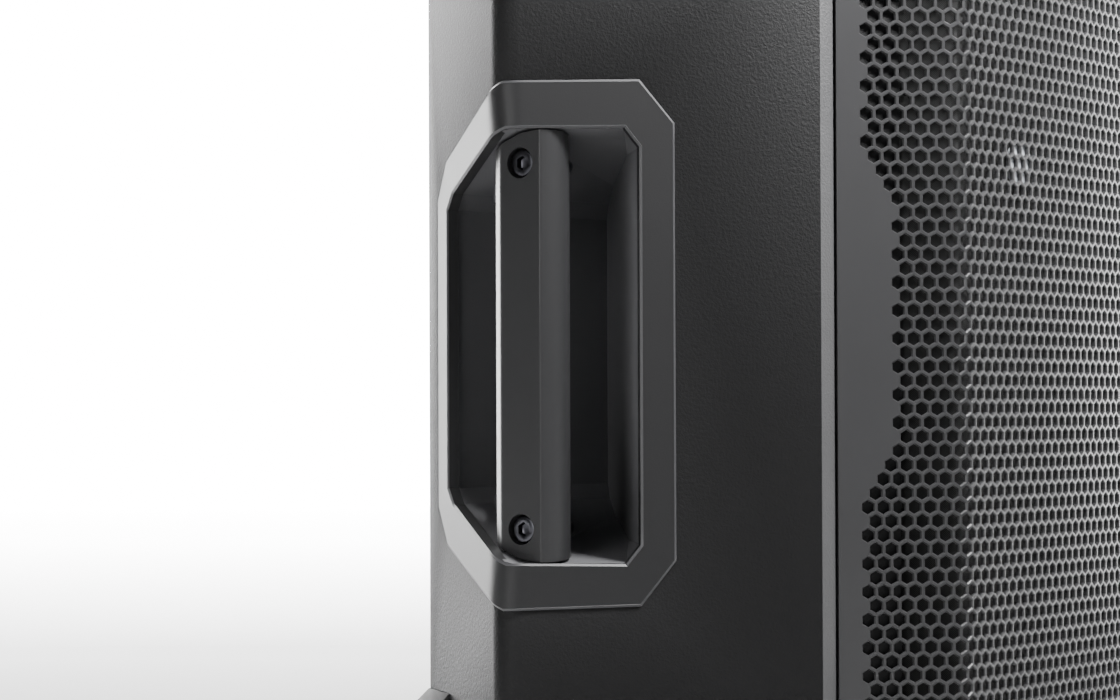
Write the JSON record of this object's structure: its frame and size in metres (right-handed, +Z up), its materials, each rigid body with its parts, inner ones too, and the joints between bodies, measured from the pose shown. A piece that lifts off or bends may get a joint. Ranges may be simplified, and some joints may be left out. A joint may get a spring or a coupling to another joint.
{
  "type": "line array speaker",
  "caption": "Compact black line array module: wedge cabinet, curved hex-perforated grille wrapping onto the sides, recessed corner grip bars, rear amplifier plate and flip-up rigging links.",
  "frame": {"origin": "middle of the bounding box's underside, on the floor under the feet", "axes": "+Z up, -Y towards the audience (grille), +X along the width"},
  "size_m": [0.6826, 0.2724, 0.342],
  "materials": {
    "black_textured_paint": "fine textured matt black polyurea paint over plywood",
    "black_powder_coated_steel": "satin black powder coat on steel",
    "black_anodised_aluminium": "black anodised, satin",
    "acoustic_cloth": "thin black acoustic cloth",
    "black_moulded_plastic": "fine grained moulded nylon",
    "satin_black_grip": "smooth satin moulded nylon",
    "black_oxide_screw": "black oxide socket screw",
    "zinc_plated_steel": "bright zinc plate",
    "ferrite_magnet": "black painted ferrite and steel",
    "coated_paper_cone": "matt coated paper pulp",
    "rubber_surround": "matt foam rubber",
    "rubber_bumper": "matt moulded rubber",
    "circuit_laminate": "green solder mask",
    "clear_lens": "clear moulded lens"
  },
  "bodies": {
    "cabinet": {"top_panel": "black_textured_paint", "bottom_panel": "black_textured_paint", "left_side_shell": "black_textured_paint", "right_side_shell": "black_textured_paint", "back_panel": "black_textured_paint", "front_baffle": "black_textured_paint", "grille": "black_powder_coated_steel", "left_woofer_frame": "black_powder_coated_steel", "right_woofer_frame": "black_powder_coated_steel", "amp_plate": "black_powder_coated_steel", "left_link_tray": "black_powder_coated_steel", "right_link_tray": "black_powder_coated_steel", "left_rear_track": "black_powder_coated_steel", "right_rear_track": "black_powder_coated_steel", "heat_sink": "black_anodised_aluminium", "grille_cloth": "acoustic_cloth", "left_handle_cup": "black_moulded_plastic", "right_handle_cup": "black_moulded_plastic", "waveguide": "black_moulded_plastic", "signal_input": "black_moulded_plastic", "signal_link": "black_moulded_plastic", "mains_inlet": "black_moulded_plastic", "mains_link": "black_moulded_plastic", "left_handle_bar": "satin_black_grip", "right_handle_bar": "satin_black_grip", "left_handle_screw_upper": "black_oxide_screw", "left_handle_screw_lower": "black_oxide_screw", "right_handle_screw_upper": "black_oxide_screw", "right_handle_screw_lower": "black_oxide_screw", "left_magnet": "ferrite_magnet", "right_magnet": "ferrite_magnet", "compression_driver": "ferrite_magnet", "left_surround": "rubber_surround", "right_surround": "rubber_surround", "left_bottom_bumper": "rubber_bumper", "right_bottom_bumper": "rubber_bumper", "left_top_bumper": "rubber_bumper", "right_top_bumper": "rubber_bumper", "left_front_foot": "rubber_bumper", "right_front_foot": "rubber_bumper", "circuit_board": "circuit_laminate", "front_lens": "clear_lens", "status_lens": "clear_lens"},
    "left_front_link": {"left_front_link": "zinc_plated_steel"},
    "left_rear_link": {"left_rear_link": "zinc_plated_steel"},
    "left_rear_pin": {"left_rear_pin": "zinc_plated_steel"},
    "left_cone": {"left_cone": "coated_paper_cone"},
    "right_front_link": {"right_front_link": "zinc_plated_steel"},
    "right_rear_link": {"right_rear_link": "zinc_plated_steel"},
    "right_rear_pin": {"right_rear_pin": "zinc_plated_steel"},
    "right_cone": {"right_cone": "coated_paper_cone"},
    "level_knob": {"level_knob": "black_moulded_plastic"},
    "preset_button": {"preset_button": "black_moulded_plastic"},
    "mains_switch": {"mains_switch": "black_moulded_plastic"}
  },
  "joints": [
    {"name": "left_front_link_hinge", "type": "hinge", "parent": "cabinet", "child": "left_front_link", "pos_m": [-0.15, -0.0522, 0.3365], "axis": [1, 0, 0], "range_deg": [0, 90]},
    {"name": "left_rear_link_slide", "type": "slide", "parent": "cabinet", "child": "left_rear_link", "axis": [0, 0, 1], "range_m": [0, 0.06]},
    {"name": "left_rear_pin_slide", "type": "slide", "parent": "cabinet", "child": "left_rear_pin", "axis": [1, 0, 0], "range_m": [0, 0.03]},
    {"name": "left_cone_travel", "type": "slide", "parent": "cabinet", "child": "left_cone", "axis": [0, -1, 0], "range_m": [-0.005, 0.005], "stiffness_N_per_m": 2500},
    {"name": "right_front_link_hinge", "type": "hinge", "parent": "cabinet", "child": "right_front_link", "pos_m": [0.15, -0.0522, 0.3365], "axis": [1, 0, 0], "range_deg": [0, 90]},
    {"name": "right_rear_link_slide", "type": "slide", "parent": "cabinet", "child": "right_rear_link", "axis": [0, 0, 1], "range_m": [0, 0.06]},
    {"name": "right_rear_pin_slide", "type": "slide", "parent": "cabinet", "child": "right_rear_pin", "axis": [-1, 0, 0], "range_m": [0, 0.03]},
    {"name": "right_cone_travel", "type": "slide", "parent": "cabinet", "child": "right_cone", "axis": [0, -1, 0], "range_m": [-0.005, 0.005], "stiffness_N_per_m": 2500},
    {"name": "level_knob_turn", "type": "hinge", "parent": "cabinet", "child": "level_knob", "pos_m": [-0.08, 0.1095, 0.243], "axis": [0, 1, 0], "range_deg": [-150, 150]},
    {"name": "preset_button_press", "type": "slide", "parent": "cabinet", "child": "preset_button", "axis": [0, -1, 0], "range_m": [0, 0.0015], "stiffness_N_per_m": 300},
    {"name": "mains_switch_rock", "type": "hinge", "parent": "cabinet", "child": "mains_switch", "pos_m": [-0.08, 0.1085, 0.113], "axis": [1, 0, 0], "range_deg": [0, 14]}
  ]
}
